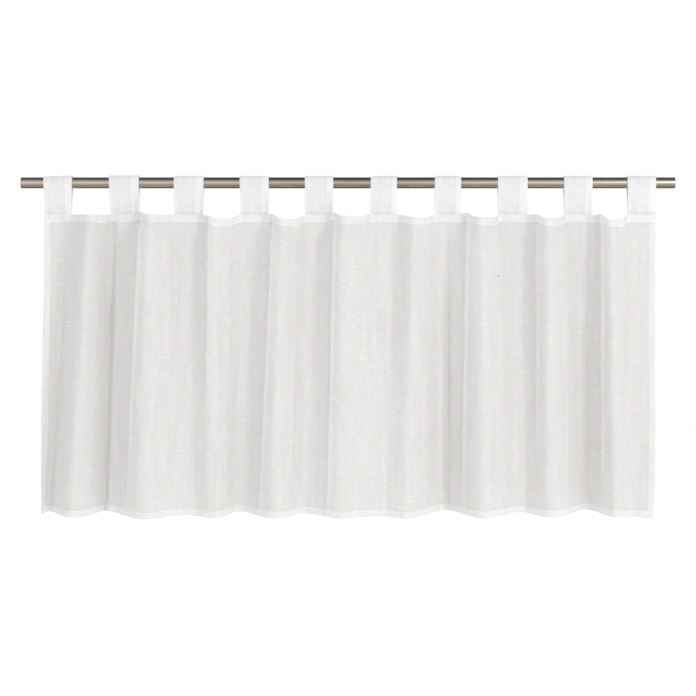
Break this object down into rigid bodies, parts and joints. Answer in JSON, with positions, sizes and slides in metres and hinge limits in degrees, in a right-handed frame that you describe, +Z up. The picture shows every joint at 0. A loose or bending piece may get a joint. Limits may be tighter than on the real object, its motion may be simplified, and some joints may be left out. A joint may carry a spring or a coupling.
{
  "type": "cafe curtain on a curtain rod",
  "caption": "Short sheer tab-top curtain hanging in soft uneven folds from a plain round metal rod, with hemmed edges and a sewn heading.",
  "frame": {"origin": "on the rod's axis, midway along its length", "axes": "+X along the rod, +Z up, and the curtain's front faces -Y, away from the window"},
  "size_m": [0.95, 0.0598, 0.4956],
  "materials": {
    "linen": "sheer linen-look slub weave",
    "nickel": "satin brushed nickel"
  },
  "bodies": {
    "root": {"rod": "nickel", "curtain_panel": "linen", "tab_01": "linen", "tab_02": "linen", "tab_03": "linen", "tab_04": "linen", "tab_05": "linen", "tab_06": "linen", "tab_07": "linen", "tab_08": "linen", "tab_09": "linen", "tab_10": "linen"}
  },
  "joints": []
}
